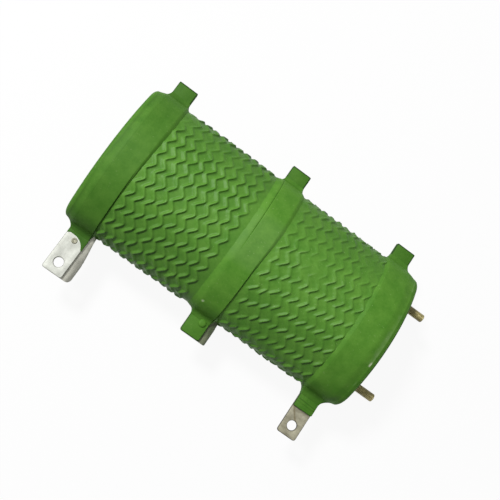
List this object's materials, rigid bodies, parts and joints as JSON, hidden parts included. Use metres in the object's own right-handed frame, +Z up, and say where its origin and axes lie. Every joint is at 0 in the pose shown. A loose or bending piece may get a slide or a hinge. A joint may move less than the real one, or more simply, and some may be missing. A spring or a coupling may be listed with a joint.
{
  "type": "power load resistor",
  "caption": "Flat oval power load resistor: corrugated resistance ribbon wound on a hollow ceramic tube, green coated, with strap bands, lugs, bare hole terminals and axial mounting studs.",
  "frame": {"origin": "middle of the two mounting studs, on the right end face of the ceramic tube", "axes": "+X along the tube, the way the studs point; +Y across the tube, away from the terminals; +Z up, out of the broad front face"},
  "size_m": [0.1625, 0.1038, 0.0426],
  "materials": {
    "coated_ceramic": "satin green coat on ceramic",
    "coated_ribbon": "satin green coat",
    "coated_strap": "satin green coat",
    "tinned_strap": "tinned, coated green on the band and at the roots of the lugs",
    "brass": "dull"
  },
  "bodies": {
    "root": {"ceramic_core": "coated_ceramic", "resistance_ribbon_left": "coated_ribbon", "resistance_ribbon_right": "coated_ribbon", "left_band_front": "tinned_strap", "left_band_rear": "tinned_strap", "centre_band_front": "coated_strap", "centre_band_rear": "coated_strap", "right_band_front": "coated_strap", "right_band_rear": "tinned_strap", "left_lug_rivet": "brass", "centre_lug_rivet": "coated_strap", "upper_screw": "brass", "lower_screw": "brass", "upper_washer": "brass", "lower_washer": "brass"}
  },
  "joints": []
}
